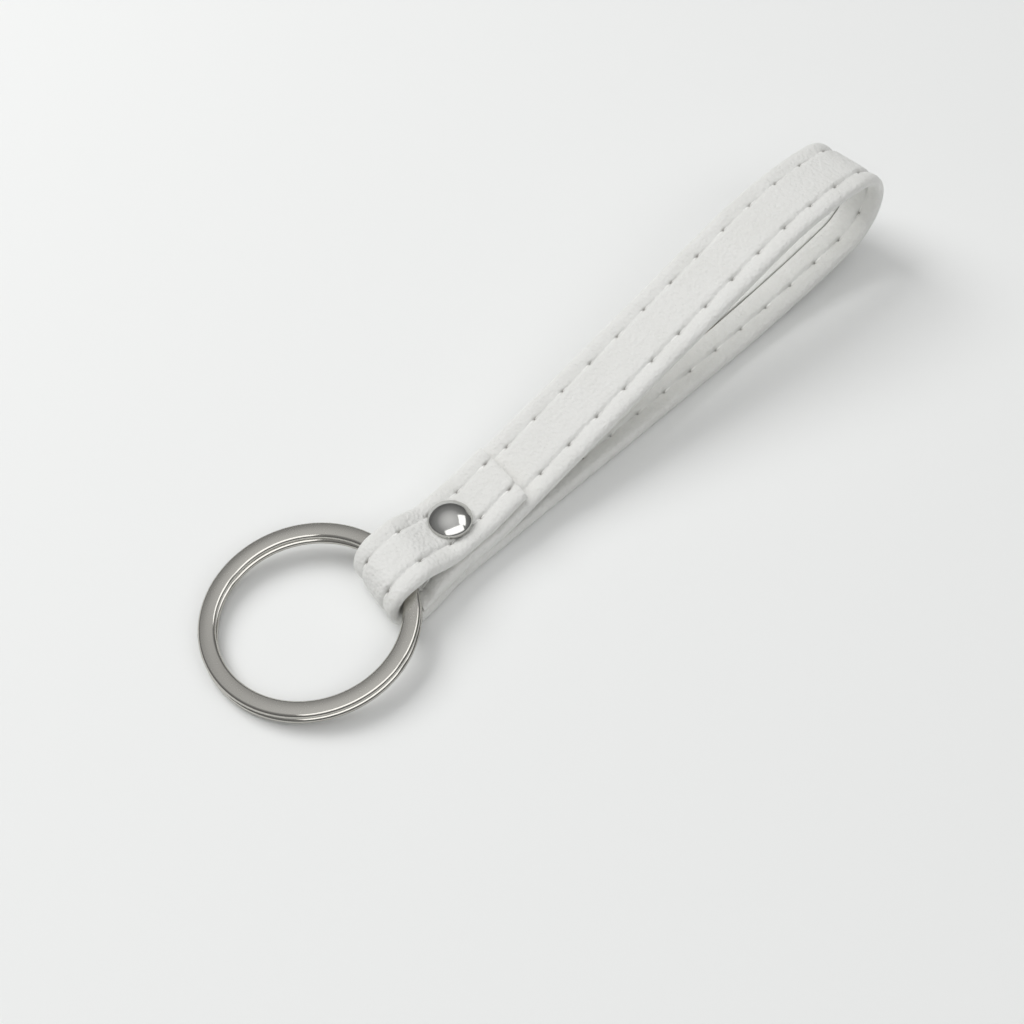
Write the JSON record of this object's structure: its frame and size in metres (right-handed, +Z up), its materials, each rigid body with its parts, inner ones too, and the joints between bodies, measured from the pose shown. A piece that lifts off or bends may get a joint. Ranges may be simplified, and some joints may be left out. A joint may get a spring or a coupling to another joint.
{
  "type": "key holder",
  "caption": "Padded leather strap folded into a flat hand loop, closed by a domed rivet, with a flat split ring held in its short end fold.",
  "frame": {"origin": "on the resting surface, under the middle of the whole holder's bounding box", "axes": "+X along the strap from the split ring towards the hand loop, +Y across the strap, +Z up, away from the resting surface"},
  "size_m": [0.1348, 0.032, 0.0198],
  "materials": {
    "leather_white": "semi-matte coated, fine grain",
    "filler_board": "matte",
    "thread_white": "matte waxed thread",
    "nickel_polished": "polished nickel plate",
    "nickel_satin": "satin face, polished edges"
  },
  "bodies": {
    "strap": {"strap_cover": "leather_white", "strap_filler": "filler_board", "needle_thread_left": "thread_white", "needle_thread_right": "thread_white", "bobbin_thread_left": "thread_white", "bobbin_thread_right": "thread_white", "rivet_front_cap": "nickel_polished", "rivet_post": "nickel_polished", "rivet_socket": "nickel_polished", "rivet_back_cap": "nickel_polished"},
    "ring": {"split_ring": "nickel_satin"}
  },
  "joints": [
    {"name": "ring_swing", "type": "hinge", "parent": "strap", "child": "ring", "pos_m": [-0.0378, -0.00314, 0.00449], "axis": [0.225, 0.9744, 0], "range_deg": [0, 175]}
  ]
}
